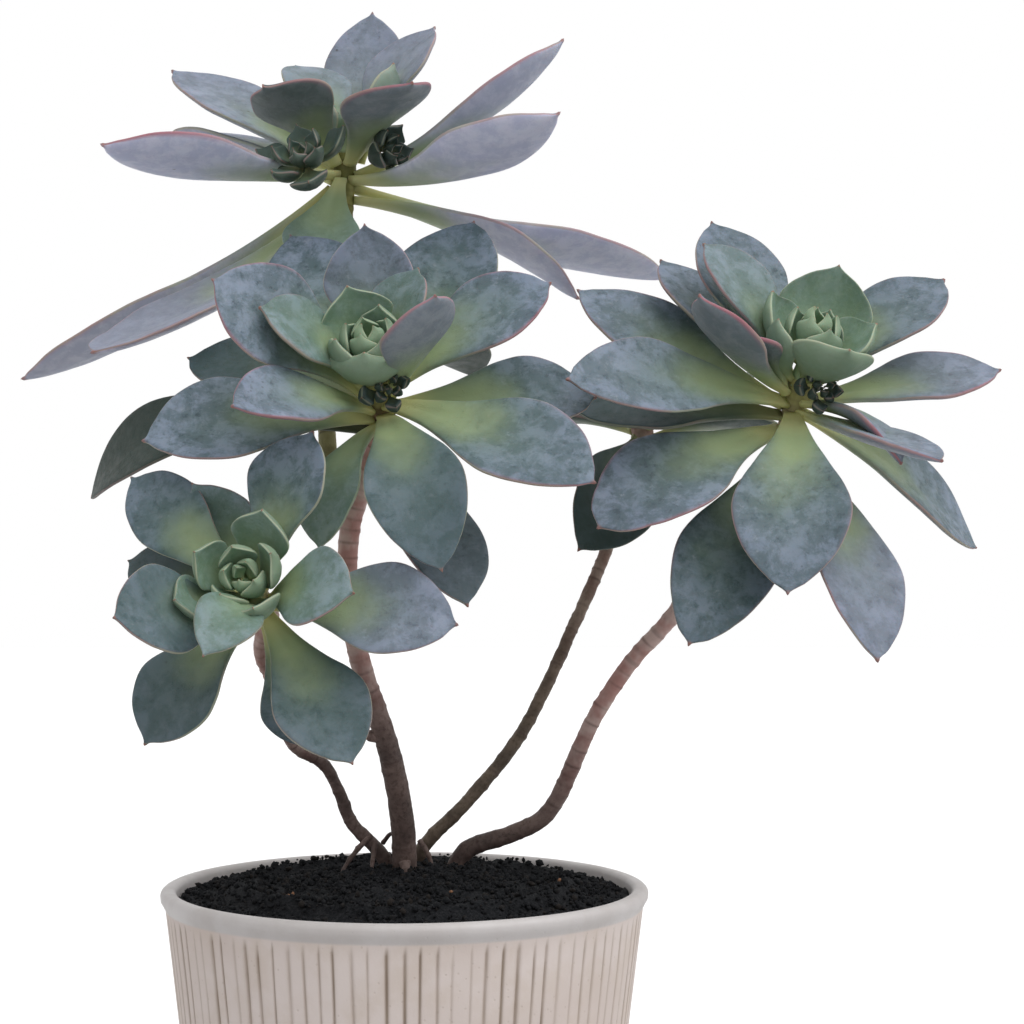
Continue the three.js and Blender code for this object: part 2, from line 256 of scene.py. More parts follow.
def leaf_surface(lines, stations, around, seed, blunt=0.2, wave=1.0, spike=1.0, extend=1.2):
    """A fine closed leaf, its margins and faces uneven by wave, its foot drawn out by extend millimetres.

    Each point has three values: how far along it lies, how far across, and how much on the upper face.
    """
    _, tip, middle, across, face, half, thick, cup = lines
    tip = tip + unit(tip - middle[-1]) * TIP_MM * spike * MM
    start = middle[0] + unit(middle[0] - middle[1]) * extend * MM
    places = np.vstack([start[None], middle, tip[None]])
    reach = np.concatenate([[0], np.cumsum(np.linalg.norm(np.diff(places, axis=0), axis=1))])
    reach_mm = reach[-1] / MM
    reach /= reach[-1]
    # the rows lie closer together towards the tip
    s = 0.35 * np.linspace(0, 1, stations) + 0.65 * np.sin(np.linspace(0, math.pi / 2, stations))
    s = s[:-1]
    place = spline(reach, places, s)
    side = spline(reach, with_ends(across, across[-1:]), s)
    up = spline(reach, with_ends(face, face[-1:]), s)
    wide = half_widths(s, reach, reach_mm, half, blunt, spike)
    deep = spline(reach, with_ends(thick, thick[-1:] * 0.45), s)
    deep = np.minimum(deep, 0.35 * MM + 0.9 * wide)
    cups = spline(reach, with_ends(cup, cup[-1:]), s)
    most = half.max()
    phase = np.random.RandomState(seed).uniform(0, 100)
    edge_l = 1 + wave * 0.035 * line_noise(s * 3.0, 1.4, phase)
    edge_r = 1 + wave * 0.035 * line_noise(s * 3.0, 1.4, phase + 31)
    lift_l = wave * 0.06 * line_noise(s * 4.0, 1.1, phase + 7) * most
    lift_r = wave * 0.06 * line_noise(s * 4.0, 1.1, phase + 53) * most
    # the section, from -1 to 1: an ellipse with fuller sides, flatter above than below
    angle = np.linspace(0, 2 * math.pi, around, endpoint=False)
    ca, sa = np.cos(angle), np.sin(angle)
    u = np.sign(ca) * np.abs(ca) ** 0.85
    z = np.sign(sa) * np.abs(sa) ** 0.75
    z = np.where(z > 0, z * 0.95, z * 1.15)
    points, attrs = [], []
    for k in range(len(s)):
        edge = np.where(u > 0, edge_r[k], edge_l[k])
        lift = np.where(u > 0, lift_r[k], lift_l[k]) * u * u * smooth(0.15, 0.5, s[k])
        keel = np.exp(-((u / 0.22) ** 2)) * smooth(0.02, 0.2, s[k]) * (1 - smooth(0.6, 0.95, s[k]))
        height = cups[k] * wide[k] * u * u + z * deep[k] + lift
        height -= np.where(z > 0, 0.22, 0.1) * deep[k] * keel
        points.append(place[k] + (u * wide[k] * edge)[:, None] * side[k] + height[:, None] * up[k])
        attrs.append(np.stack([np.full(around, s[k]), u, smooth(-0.25, 0.25, z)], 1))
    points = np.vstack(points)
    bump = wobble(points, 90, phase) * 0.22 + wobble(points, 260, phase + 5) * 0.07
    row = np.repeat(np.arange(len(s)), around)
    points = points + (bump * wave * MM * np.clip(wide[row] / most, 0, 1))[:, None] * up[row]
    points = np.vstack([points, start[None], tip[None]])
    attrs = np.vstack(attrs + [np.array([[0, 0, 0.5], [1, 0, 0.5]])])
    return points, tube_faces(len(s), around), attrs


def make_mesh(name, parts, layers, material, node):
    """One object from parts of points, faces and attribute rows, on the root body in place of the node."""
    points, faces, rows, shift = [], [], [], 0
    for p, f, a in parts:
        points.append(p)
        faces.extend(tuple(i + shift for i in face) for face in f)
        rows.append(a)
        shift += len(p)
    points, rows = np.vstack(points), np.vstack(rows)
    mesh = bpy.data.meshes.new(name)
    mesh.from_pydata(points.tolist(), [], faces)
    mesh.update()
    bm = bmesh.new()
    bm.from_mesh(mesh)
    bmesh.ops.recalc_face_normals(bm, faces=bm.faces)
    bm.to_mesh(mesh)
    bm.free()
    mesh.polygons.foreach_set("use_smooth", [True] * len(mesh.polygons))
    for i, layer in enumerate(layers):
        attribute = mesh.attributes.new(layer, "FLOAT", "POINT")
        attribute.data.foreach_set("value", rows[:, i].astype(np.float32))
    mesh.materials.append(material)
    piece = bpy.data.objects.new(name, mesh)
    bpy.context.scene.collection.objects.link(piece)
    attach(piece, "root")
    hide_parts(node)


# ---- materials -----------------------------------------------------------------------------------
def rgb(r, g, b):
    """A colour given as 0 to 255 on screen."""
    lin = [((c / 255 + 0.055) / 1.055) ** 2.4 if c > 10 else c / 255 / 12.92 for c in (r, g, b)]
    return (*lin, 1.0)


class Nodes:
    """Short names for the few shader nodes that the materials use."""

    def __init__(self, name):
        self.material = bpy.data.materials.new(name)
        self.material.use_nodes = True
        self.tree = self.material.node_tree
        self.shader = self.tree.nodes["Principled BSDF"]
        self.coords = self.tree.nodes.new("ShaderNodeTexCoord").outputs["Object"]

    def link(self, a, b):
        self.tree.links.new(a, b)

    def put(self, socket, value):
        if hasattr(value, "is_output"):
            self.link(value, socket)
        else:
            socket.default_value = value

    def attr(self, name):
        node = self.tree.nodes.new("ShaderNodeAttribute")
        node.attribute_name = name
        return node.outputs["Fac"]

    def noise(self, scale, detail=4.0, rough=0.55, warp=0.0, coords=None):
        node = self.tree.nodes.new("ShaderNodeTexNoise")
        self.put(node.inputs["Vector"], coords or self.coords)
        node.inputs["Scale"].default_value = scale
        node.inputs["Detail"].default_value = detail
        node.inputs["Roughness"].default_value = rough
        node.inputs["Distortion"].default_value = warp
        return node.outputs["Fac"]

    def cells(self, scale):
        node = self.tree.nodes.new("ShaderNodeTexVoronoi")
        self.put(node.inputs["Vector"], self.coords)
        node.inputs["Scale"].default_value = scale
        return node.outputs["Distance"]

    def stretch(self, x, y, z):
        node = self.tree.nodes.new("ShaderNodeMapping")
        self.put(node.inputs["Vector"], self.coords)
        node.inputs["Scale"].default_value = (x, y, z)
        return node.outputs["Vector"]

    def step(self, value, lo, hi, low=0.0, high=1.0):
        node = self.tree.nodes.new("ShaderNodeMapRange")
        node.interpolation_type = "SMOOTHSTEP"
        self.put(node.inputs["Value"], value)
        for key, v in zip(("From Min", "From Max", "To Min", "To Max"), (lo, hi, low, high)):
            node.inputs[key].default_value = v
        return node.outputs["Result"]

    def math(self, kind, a, b=0.0):
        node = self.tree.nodes.new("ShaderNodeMath")
        node.operation = kind
        self.put(node.inputs[0], a)
        self.put(node.inputs[1], b)
        return node.outputs[0]

    def times(self, a, b):
        return self.math("MULTIPLY", a, b)

    def plus(self, a, b):
        return self.math("ADD", a, b)

    def minus(self, a, b):
        return self.math("SUBTRACT", a, b)

    def mix(self, factor, a, b):
        node = self.tree.nodes.new("ShaderNodeMix")
        node.data_type = "RGBA"
        self.put(node.inputs[0], factor)
        self.put(node.inputs[6], a)
        self.put(node.inputs[7], b)
        return node.outputs[2]

    def bump(self, height, strength, distance, normal=None):
        node = self.tree.nodes.new("ShaderNodeBump")
        self.put(node.inputs["Height"], height)
        node.inputs["Strength"].default_value = strength
        node.inputs["Distance"].default_value = distance
        if normal is not None:
            self.link(normal, node.inputs["Normal"])
        return node.outputs["Normal"]

    def done(self, colour, roughness, normal=None, **fixed):
        self.put(self.shader.inputs["Base Color"], colour)
        self.put(self.shader.inputs["Roughness"], roughness)
        if normal is not None:
            self.link(normal, self.shader.inputs["Normal"])
        for key, value in fixed.items():
            self.shader.inputs[key.replace("_", " ")].default_value = value
        return self.material


LEAF_LAYERS = ("along", "across", "upper", "tone", "lilac", "young", "red", "dark")


def leaf_material():
    m = Nodes("leaf_skin")
    along, upper = m.attr("along"), m.attr("upper")
    edge = m.math("ABSOLUTE", m.attr("across"))
    tone, lilac, young = m.attr("tone"), m.attr("lilac"), m.attr("young")
    red, dark = m.attr("red"), m.attr("dark")
    broad, fine, grain = m.noise(60, 3), m.noise(420, 8, 0.72), m.noise(1800, 3)
    blotch = m.noise(190, 8, 0.7, 0.25)
    # how far a spot is from the base, with an uneven front and the margins ahead
    ahead = m.times(m.times(edge, edge), 0.22)
    ragged = m.plus(m.plus(along, ahead), m.times(m.minus(broad, 0.5), 0.4))
    # upper face: blue-grey bloom, greener towards the base, rubbed darker in soft blotches and scuffs
    bloom = m.mix(m.step(broad, 0.35, 0.65), rgb(113, 127, 148), rgb(133, 146, 165))
    rubbed = m.mix(m.step(broad, 0.35, 0.65), rgb(76, 94, 104), rgb(92, 110, 121))
    top = m.mix(m.step(blotch, 0.38, 0.6), bloom, rubbed)
    greener = m.mix(m.step(blotch, 0.38, 0.62), rgb(102, 126, 114), rgb(78, 102, 88))
    top = m.mix(m.step(ragged, 0.42, 0.95, 0.85, 0.05), top, greener)
    scuff = m.times(m.step(fine, 0.53, 0.66), m.step(blotch, 0.44, 0.6))
    top = m.mix(m.times(scuff, 0.8), top, rgb(58, 74, 80))
    dots = m.times(m.step(m.cells(620), 0.12, 0.3, 1.0, 0.0), m.step(m.noise(110, 3), 0.5, 0.62))
    top = m.mix(m.times(dots, 0.5), top, rgb(56, 72, 76))
    top = m.mix(m.step(fine, 0.42, 0.28, 0.0, 0.35), top, rgb(166, 174, 184))
    # tone: a darker green-grey, partly each leaf's own colour, which differs at random, and partly painted
    # shade on leaves that lie in shadow
    top = m.mix(m.step(tone, 0, 1, 0.0, 0.65), top, rgb(72, 92, 92))
    top = m.mix(m.times(lilac, 0.75), top, rgb(150, 152, 172))
    fresh = m.mix(m.step(fine, 0.35, 0.7), rgb(124, 156, 114), rgb(152, 180, 140))
    top = m.mix(m.times(young, 0.85), top, fresh)
    # underside: duller green-grey, or a pale lilac bloom
    under = m.mix(m.step(blotch, 0.4, 0.62), rgb(72, 88, 80), rgb(92, 104, 102))
    bloomed = m.mix(m.step(blotch, 0.4, 0.62), rgb(204, 208, 236), rgb(226, 228, 250))
    under = m.mix(m.times(lilac, 0.9), under, bloomed)
    under = m.mix(m.times(young, 0.9), under, rgb(150, 174, 142))
    colour = m.mix(upper, under, top)
    # the narrow base is yellow-green: partly its own colour, and partly a painted glow of the light that
    # shines through it, made paler against the crown's shade
    green = m.mix(m.step(along, 0.03, 0.26), rgb(206, 206, 144), rgb(150, 166, 122))
    how_green = m.step(ragged, 0.26, 0.7, 0.95, 0.0)
    colour = m.mix(m.times(how_green, m.minus(1.0, m.times(young, 0.5))), colour, green)
    # dark: painted shade, a near-black green on leaves and shoots that lie in shadow low in, under or behind
    # the rosettes
    colour = m.mix(m.times(dark, 0.85), colour, rgb(40, 54, 46))
    # thin pale margin, pink to red on some leaves
    rim = m.times(m.step(edge, 0.972, 0.998), m.step(along, 0.25, 0.5))
    pale = m.mix(m.step(m.noise(40, 2), 0.4, 0.62), rgb(168, 172, 148), rgb(172, 140, 138))
    pale = m.mix(m.step(young, 0.2, 0.6), pale, rgb(172, 188, 156))
    colour = m.mix(m.times(rim, m.minus(0.75, m.times(dark, 0.4))), colour, pale)
    broad_rim = m.times(m.step(edge, 0.9, 1.0), m.step(along, 0.45, 0.85))
    colour = m.mix(m.times(m.times(broad_rim, red), 0.8), colour, rgb(164, 96, 112))
    colour = m.mix(m.step(along, 0.975, 0.992, 0.0, 0.7), colour, rgb(150, 100, 84))
    # a few dry specks
    speck = m.times(m.step(m.cells(170), 0.05, 0.1, 1.0, 0.0), m.step(m.noise(70, 2), 0.6, 0.66))
    colour = m.mix(m.times(speck, 0.7), colour, rgb(58, 52, 44))
    height = m.plus(m.times(grain, 0.3), m.plus(m.times(fine, 0.5), scuff))
    normal = m.bump(height, 0.35, 0.0003)
    rough = m.step(fine, 0.3, 0.7, 0.46, 0.68)
    skin = {"Subsurface_Weight": 0.1, "Subsurface_Scale": 0.002, "Specular_IOR_Level": 0.35}
    return m.done(colour, rough, normal, **skin)


def stem_material():
    m = Nodes("stem_bark")
    olive, pink, ringed = m.attr("olive"), m.attr("pink"), m.attr("ringed")
    fine, broad = m.noise(900, 5, 0.7), m.noise(120, 3)
    bark = m.mix(m.step(broad, 0.35, 0.65), rgb(82, 68, 64), rgb(112, 94, 88))
    bark = m.mix(m.step(fine, 0.45, 0.7, 0.0, 0.6), bark, rgb(58, 46, 42))
    rose = m.mix(m.step(broad, 0.4, 0.62), rgb(200, 150, 142), rgb(228, 198, 190))
    colour = m.mix(pink, bark, rose)
    green = m.mix(m.step(broad, 0.4, 0.62), rgb(112, 114, 58), rgb(150, 150, 88))
    colour = m.mix(olive, colour, green)
    colour = m.mix(m.times(ringed, 0.6), colour, rgb(66, 48, 44))
    normal = m.bump(m.plus(fine, m.times(broad, 0.5)), 0.5, 0.0004)
    return m.done(colour, m.step(fine, 0.3, 0.7, 0.5, 0.8), normal, Specular_IOR_Level=0.35)


def pot_material():
    m = Nodes("pot_stoneware")
    groove, rim = m.attr("groove"), m.attr("rim")
    fine, broad, cloud = m.noise(1400, 4, 0.6), m.noise(90, 4, 0.6), m.noise(22, 3)
    body = m.mix(m.step(cloud, 0.35, 0.65), rgb(208, 194, 187), rgb(220, 208, 203))
    body = m.mix(m.step(broad, 0.4, 0.7, 0.0, 0.5), body, rgb(205, 190, 178))
    pits = m.step(m.cells(420), 0.06, 0.16, 1.0, 0.0)
    body = m.mix(m.times(pits, 0.25), body, rgb(176, 160, 146))
    body = m.mix(rim, body, m.mix(m.step(broad, 0.35, 0.7), rgb(201, 196, 195), rgb(193, 187, 185)))
    # painted shade: a darker colour along the grooves, stronger in some stretches than in others
    streak = m.noise(60, 4, 0.6, coords=m.stretch(4, 4, 0.5))
    line = m.times(groove, m.step(streak, 0.25, 0.6, 0.45, 1.0))
    colour = m.mix(line, body, rgb(150, 134, 120))
    height = m.plus(m.times(fine, 0.5), m.times(pits, -0.8))
    normal = m.bump(height, 0.25, 0.0003)
    rough = m.minus(m.step(broad, 0.3, 0.7, 0.55, 0.7), m.times(rim, 0.15))
    return m.done(colour, rough, normal, Specular_IOR_Level=0.4)


def soil_material():
    m = Nodes("soil_crumbs")
    shade = m.attr("shade")
    fine = m.noise(1600, 5, 0.7)
    dark = m.mix(m.step(fine, 0.4, 0.7), rgb(22, 24, 27), rgb(46, 46, 49))
    colour = m.mix(m.step(shade, 0.55, 0.95), dark, rgb(50, 44, 40))
    colour = m.mix(m.step(shade, 0.985, 0.99), colour, rgb(150, 110, 84))
    normal = m.bump(fine, 0.8, 0.0006)
    return m.done(colour, 0.9, normal, Specular_IOR_Level=0.2)


# ---- the plant -----------------------------------------------------------------------------------
LEAF, STEM, POT, SOIL = leaf_material(), stem_material(), pot_material(), soil_material()
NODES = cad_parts
BELOW_POT = np.array([0, 0, -10.0])  # nearer to every stem's foot than to its crown

# where each stem starts: the trunk's branch at its fork, the others in the soil
STEM_FOOT = {"b": BELOW_POT, "a": np.array([0, -0.1, 0.1]), "c": BELOW_POT, "d": BELOW_POT, "e": BELOW_POT}
stems = {key: ring_body("stem_" + key, near)[1] for key, near in STEM_FOOT.items()}
crown = {key: rings[-1].mean(0) for key, rings in stems.items()}
axis = {}
for key in "abcd":
    foot, _, tip = ring_body("bud_" + key, crown[key])
    axis[key] = unit(tip - foot)
axis["e"] = np.array([-0.1, 0, 1.0])  # the rosette behind has no bud of its own in the CAD

# looks of the leaves that differ from the rest: tone, lilac, young, red, dark; dark is painted shade on
# leaves in shadow, and tone is partly painted shade
LOOK = {
    "a_top_back": (0.1, 0.5, 0, 0.1, 0),
    "a_top_right": (0.2, 0.6, 0, 0.2, 0),
    "a_front_left": (1, 0.1, 0, 0.5, 0.25),
    "a_front_right": (1, 0.25, 0, 0.7, 0.15),
    "a_left_up": (0, 0.5, 0, 0.2, 0),
    "a_left_red": (0, 1, 0, 0.9, 0),
    "a_right_up": (0, 0.7, 0, 0.4, 0),
    "a_right_mid": (0, 1, 0, 0.2, 0),
    "a_right_long": (0, 1, 0, 0.2, 0),
    "a_right_low": (0, 0.9, 0, 0.1, 0),
    "a_front_low": (0, 0.2, 0.45, 0, 0),
    "b_left_up": (0.1, 0.1, 0, 0.6, 0),
    "b_right_up": (0.1, 0.1, 0, 0.6, 0),
    "b_front_left": (0, 0.2, 0, 0.7, 0),
    "b_back": (0, 0.3, 0, 0.1, 0),
    "b_front_low": (1.1, 0, 0, 0, 0),
    "b_front_low_left": (0, 0.1, 0.45, 0, 0),
    "b_left_dark": (0.8, 0, 0, 0, 0.6),
    "b_left_far": (1, 0, 0, 0, 1.1),
    "b_low_back": (0.6, 0.2, 0, 0, 0.35),
    "c_left_red": (0.1, 0.2, 0, 1, 0),
    "c_right": (0.1, 0.4, 0, 0.8, 0),
    "c_left_dark": (0.8, 0, 0, 0, 0.7),
    "c_low_left": (0.5, 0, 0, 0.1, 0.2),
    "c_low_right": (0.2, 0.5, 0, 0.1, 0),
    "d_left": (0.9, 0, 0, 0.1, 0),
    "d_front": (1.1, 0, 0, 0.1, 0.1),
    "d_right": (0, 0.35, 0, 0.1, 0),
    "d_down_left": (0.9, 0, 0, 0, 0.25),
    "e_down": (1, 0, 0, 0, 0.8),
}
# tone and lilac of each rosette's other leaves
HABIT = {"a": (0.1, 0.9), "b": (0.2, 0.05), "c": (0.25, 0.15), "d": (0.35, 0.0), "e": (0.8, 0.0)}
# leaves with a broad, blunt end: 0 is pointed, 1 is round
BLUNT = {"a_left_square": 1.0, "c_left_low": 0.6}


def with_look(surface, look):
    """A surface with its look added to each point's row."""
    points, faces, attrs = surface
    return points, faces, np.hstack([attrs, np.tile(look, (len(attrs), 1))])


def add_leaf(name, node, surface, look):
    make_mesh(name, [with_look(surface, look)], LEAF_LAYERS, LEAF, node)


chance = random.Random(11)
leaf_nodes = sorted(n for n in NODES if n.startswith("leaf_"))
for seed, node in enumerate(leaf_nodes, start=1):
    name = node.removeprefix("leaf_")
    key = name[0]
    tone, lilac = HABIT[key]
    tone += chance.uniform(-0.1, 0.25)
    lilac *= chance.uniform(0.7, 1)
    red = chance.choice([0.05, 0.15, 0.4])
    usual_blunt = 0.1 if key == "a" else chance.uniform(0.05, 0.35)
    look = LOOK.get(name, (tone, lilac, 0, red, 0))
    surface = leaf_surface(leaf_lines(node, crown[key]), 46, 40, seed, BLUNT.get(name, usual_blunt))
    add_leaf(node + "_blade", node, surface, look)

# smaller leaves of the rosettes: down, turn, lift, length, width, bow, roll, then the look
INNER = {
    "a": [
        (0.5, -137, 52, 30, 20, -4, 10, (0.2, 0.4, 0.12, 0.1, 0)),
        (0.3, 60, 68, 24, 14, 2, 0, (0.2, 0.2, 0.5, 0.2, 0)),
    ],
    "b": [
        (1.5, -93, 52, 31, 20, -2, 4, (0.3, 0, 0.25, 0.3, 0)),
        (1.0, 147, 38, 25, 17, -2, 16, (0.3, 0, 0.2, 0.2, 0)),
        (3.0, 53, 63, 37, 20, 1, 23, (0.4, 0.3, 0, 0.5, 0)),
        (9.0, 143, -29, 39, 23, -8, 17, (0.8, 0, 0, 0, 0.6)),
    ],
    "c": [
        (5.5, 48, -1, 31, 15, -4, 22, (0.4, 0.3, 0, 1, 0)),
        (1.5, -116, 39, 38, 21, -3, 6, (0.3, 0.1, 0.15, 0.3, 0)),
        (3.5, -62, 34, 24, 17, -3, -28, (0.3, 0.1, 0, 1, 0)),
        (8.0, 45, 12, 44, 20, 0, 8, (0.2, 0.4, 0, 0.3, 0)),
    ],
    "d": [
        (10, -2, -60, 37, 19, 0, -6, (0.6, 0, 0, 0, 0.2)),
        (2.5, -169, 9, 28, 17, 6, 13, (0.3, 0, 0.2, 0.1, 0)),
        (2.0, 56, 34, 28, 20, -3, 3, (0.2, 0, 0.25, 0.1, 0)),
        (2.5, -30, 49, 29, 15, -6, 18, (0.2, 0, 0.3, 0.1, 0)),
        (7.5, -134, -13, 36, 17, 0, -4, (0.8, 0, 0, 0, 0.6)),
    ],
    "e": [
        (3, 40, 12, 26, 19, -2, 0, (0.8, 0, 0, 0, 0.5)),
        (3, 120, 18, 36, 21, -2, 0, (0.8, 0, 0, 0, 0.4)),
        (5, 170, 5, 38, 22, -3, 0, (0.8, 0, 0, 0, 0.4)),
        (4, -140, 10, 30, 20, -2, 0, (0.8, 0, 0, 0, 0.4)),
        (6, 90, -8, 38, 22, -4, 0, (0.8, 0, 0, 0, 0.5)),
        (2, -60, 35, 20, 15, -1, 0, (0.6, 0, 0.2, 0, 0.4)),
        (2, 10, 40, 20, 15, -1, 0, (0.6, 0, 0.2, 0, 0.4)),
        (1, 100, 55, 18, 13, 0, 0, (0.5, 0, 0.3, 0, 0.3)),
        (1, -150, 55, 18, 13, 0, 0, (0.5, 0, 0.3, 0, 0.3)),
    ],
}
for key, leaves in INNER.items():
    stands_for = "stem_e" if key == "e" else "bud_" + key
    for number, (*habit, look) in enumerate(leaves):
        lines = grown_lines(crown[key], axis[key], *habit)
        surface = leaf_surface(lines, 40, 36, 200 + 10 * ord(key) + number, blunt=0.25)
        add_leaf(f"leaf_{key}_inner_{number}", stands_for, surface, look)


def shoot(centre, up, rise, wide, look):
    """The short growing tip that the young leaves of a heart stand on."""
    around, levels = 12, (-0.15, 0.1, 0.35, 0.6, 0.85, 1.0)
    side = unit(np.cross(up, [0.3, 0.9, 0.1]))
    other = np.cross(up, side)
    angle = np.linspace(0, 2 * math.pi, around, endpoint=False)
    out = np.cos(angle)[:, None] * side + np.sin(angle)[:, None] * other
    points = [centre + MM * (rise * t * up + wide * (1 - 0.75 * t) * out) for t in levels]
    points = np.vstack(points + [[centre - MM * 0.2 * rise * up], [centre + MM * 1.05 * rise * up]])
    attrs = np.tile([0.3, 0.0, 0.5], (len(points), 1))
    return with_look((points, tube_faces(len(levels), around, flip=True), attrs), look)


UPRIGHT = 84  # degrees that the innermost leaf of a spiral is lifted


def heart(
    name, node, centre, up, look, seed, count, small, large, last_turn, flat, rise, slim=0.85, outer=()
):
    """A spiral of young leaves that opens from a closed middle, with the outer leaves given one by one.

    Its count leaves grow from small to large millimetres and open from upright to flat degrees.
    """
    tone, lilac, young, red, dark = look
    spiral = random.Random(seed)
    parts = [shoot(centre, up, rise, min(2.6, 0.16 * large), look)]
    for i in range(count):
        share = i / (count - 1)
        length = small + (large - small) * share**1.1
        lift = UPRIGHT + (flat - UPRIGHT) * share**1.1
        turn = last_turn - GOLDEN * (count - 1 - i) + spiral.uniform(-6, 6)
        lines = grown_lines(
            centre,
            up,
            down=-rise * (1 - share) ** 1.1,
            turn=turn,
            lift=lift + spiral.uniform(-3, 3),
            length=length,
            width=length * slim * spiral.uniform(0.94, 1.06) * (1 - 0.12 * share),
            bow=length * (0.2 - 0.06 * share),
            thick=0.62 + 0.3 * share,
            reach=0.4 + 2.0 * share,
            cup=0.6 - 0.25 * share,
            broad=0.6 - 0.3 * share,
        )
        surface = leaf_surface(lines, 26, 26, seed * 50 + i, blunt=0.35, wave=0.5, spike=0.8, extend=0.6)
        parts.append(with_look(surface, (tone, lilac, young * (1 - 0.45 * share), red, dark)))
    for i, (*habit, cup) in enumerate(outer, start=30):
        lines = grown_lines(centre, up, *habit, thick=0.95, reach=2.0, cup=cup, broad=0.35)
        surface = leaf_surface(lines, 30, 30, seed * 50 + i, blunt=0.4, wave=0.7, spike=1.1, extend=0.8)
        parts.append(with_look(surface, (tone, lilac, 0.6 * young, red, dark)))
    make_mesh(name, parts, LEAF_LAYERS, LEAF, node)


# the heart of each rosette: its look, then count, small, large, last turn, flat and rise
HEARTS = {
    "a": ((0.2, 0.2, 0.7, 0.2, 0), (8, 5, 16, 85, 60, 5)),
    "b": ((0.2, 0, 1, 0.1, 0), (9, 6.5, 16, -60, 68, 9)),
    "c": ((0.2, 0, 1, 0.1, 0), (9, 6, 17, -60, 66, 12.5)),
    "d": ((0.2, 0, 0.9, 0.1, 0), (12, 4.5, 20, -82, 52, 7)),
}
# outer young leaves: down, turn, lift, length, width, bow, roll and cup
OUTER = {
    "b": [
        (-3, -8, 60, 12, 20, 3.5, 3, 0.45),
        (-2.5, -163, 58, 18, 18, 3, 0, 0.4),
        (-2.5, 77, 62, 15, 14, 3, 0, 0.4),
    ],
    "c": [
        (-1, 27, 46, 20, 22, 2, 12, 0.4),
        (-4, 170, 42, 27, 24, 7, 2, 0.35),
        (-4, -118, 52, 17, 18, 3, -6, 0.45),
        (-3, 107, 46, 18, 18, 2, 0, 0.4),
    ],
}
for seed, (key, (look, spiral)) in enumerate(HEARTS.items(), start=1):
    heart("heart_" + key, "bud_" + key, crown[key], axis[key], look, seed, *spiral, outer=OUTER.get(key, ()))

OFFSET_LOOK, OFFSET_SPIRAL = (1, 0, 0.3, 0, 0.7), (13, 3, 13, 0, 16, 3)
foot, _, tip = ring_body("offset_a", crown["a"])
heart("offset_a_rosette", "offset_a", foot, unit(tip - foot), OFFSET_LOOK, 5, *OFFSET_SPIRAL)

# the small shoots, painted near black as shade where they sit in shadow at the crowns: place from the crown
# in millimetres, direction and length of the largest leaf
SIDE_BUDS = {
    "a": ((10, -7, -2.5), (0.7, -0.5, 0.3), 8),
    "b": ((2.8, -6.5, -3), (0.2, -0.9, 0.1), 5.5),
    "c": ((3, -6, -3), (0.4, -0.8, 0.0), 5.5),
}
PAINTED_SHADE_LOOK = (1, 0, 0, 0, 0.98)
for seed, (key, (spot, up, large)) in enumerate(SIDE_BUDS.items(), start=7):
    place = crown[key] + MM * np.array(spot)
    spiral = (11, 2.5, large, 0, 42, 3)
    heart("side_bud_" + key, "bud_" + key, place, unit(np.array(up)), PAINTED_SHADE_LOOK, seed, *spiral, slim=1.0)


# ---- stems ---------------------------------------------------------------------------------------
def stem_surface(rings, seed, olive, pink, root=0.0):
    """A round stem with leaf scars: low ridges part of the way round, closer together near the crown."""
    middle = rings.mean(1)
    radius = np.linalg.norm(rings - middle[:, None], axis=2).mean(1)
    if root:
        middle[0] = middle[0] + unit(middle[0] - middle[1]) * root * MM
    reach = np.concatenate([[0], np.cumsum(np.linalg.norm(np.diff(middle, axis=0), axis=1))])
    length = reach[-1]
    s = np.arange(0, length, 0.55 * MM)
    place, wide = spline(reach, middle, s), spline(reach, radius, s)
    tangent = np.gradient(place, axis=0)
    tangent /= np.linalg.norm(tangent, axis=1, keepdims=True)
    side = unit(np.cross(tangent[0], [0.3, 1, 0.2]))
    # each scar: its place along the stem, the side it faces, its height and its breadth
    scars = random.Random(seed)
    ridges, at = [], 0.0
    while at < length:
        at += scars.uniform(2.4, 5.5) * MM * (1.25 - 0.75 * (at / length))
        turn = scars.uniform(0, 2 * math.pi)
        ridges.append((at, turn, scars.uniform(0.10, 0.26) * MM, scars.uniform(0.35, 0.7) * MM))
    around = 22
    angle = np.linspace(0, 2 * math.pi, around, endpoint=False)
    points, attrs = [], []
    for k in range(len(s)):
        side = unit(side - (side @ tangent[k]) * tangent[k])
        other = np.cross(tangent[k], side)
        out = np.cos(angle)[:, None] * side + np.sin(angle)[:, None] * other
        swell, ring = np.zeros(around), np.zeros(around)
        for where, turn, tall, span in ridges:
            if abs(where - s[k]) < 3 * span:
                wrap = 0.35 + 0.65 * (0.5 + 0.5 * np.cos(angle - turn)) ** 1.5
                swell += tall * wrap * math.exp(-(((where - s[k]) / span) ** 2))
                ring += wrap * math.exp(-(((where - s[k] + 0.3 * span) / (0.5 * span)) ** 2))
        base = place[k] + wide[k] * out
        uneven = 0.16 * MM * wobble(base, 260, seed) + 0.10 * MM * wobble(base, 700, seed + 3)
        points.append(place[k] + (wide[k] + swell + uneven)[:, None] * out)
        share = s[k] / length
        tints = np.tile([olive(share), pink(share)], (around, 1))
        attrs.append(np.hstack([np.clip(ring, 0, 1)[:, None], tints]))
    points = np.vstack(points + [middle[:1] - tangent[:1] * 0.2 * MM, place[-1:] + tangent[-1:] * 1.2 * MM])
    attrs = np.vstack(attrs + [attrs[0][:1], attrs[-1][:1]])
    return points, tube_faces(len(s), around), attrs


def rising(lo, hi, most):
    """A tint that comes in between two shares of a stem's length."""
    return lambda share: most * float(smooth(lo, hi, share))


def even(tint):
    """A tint that is the same all along."""
    return lambda share: tint


STEM_LAYERS = ("ringed", "olive", "pink")
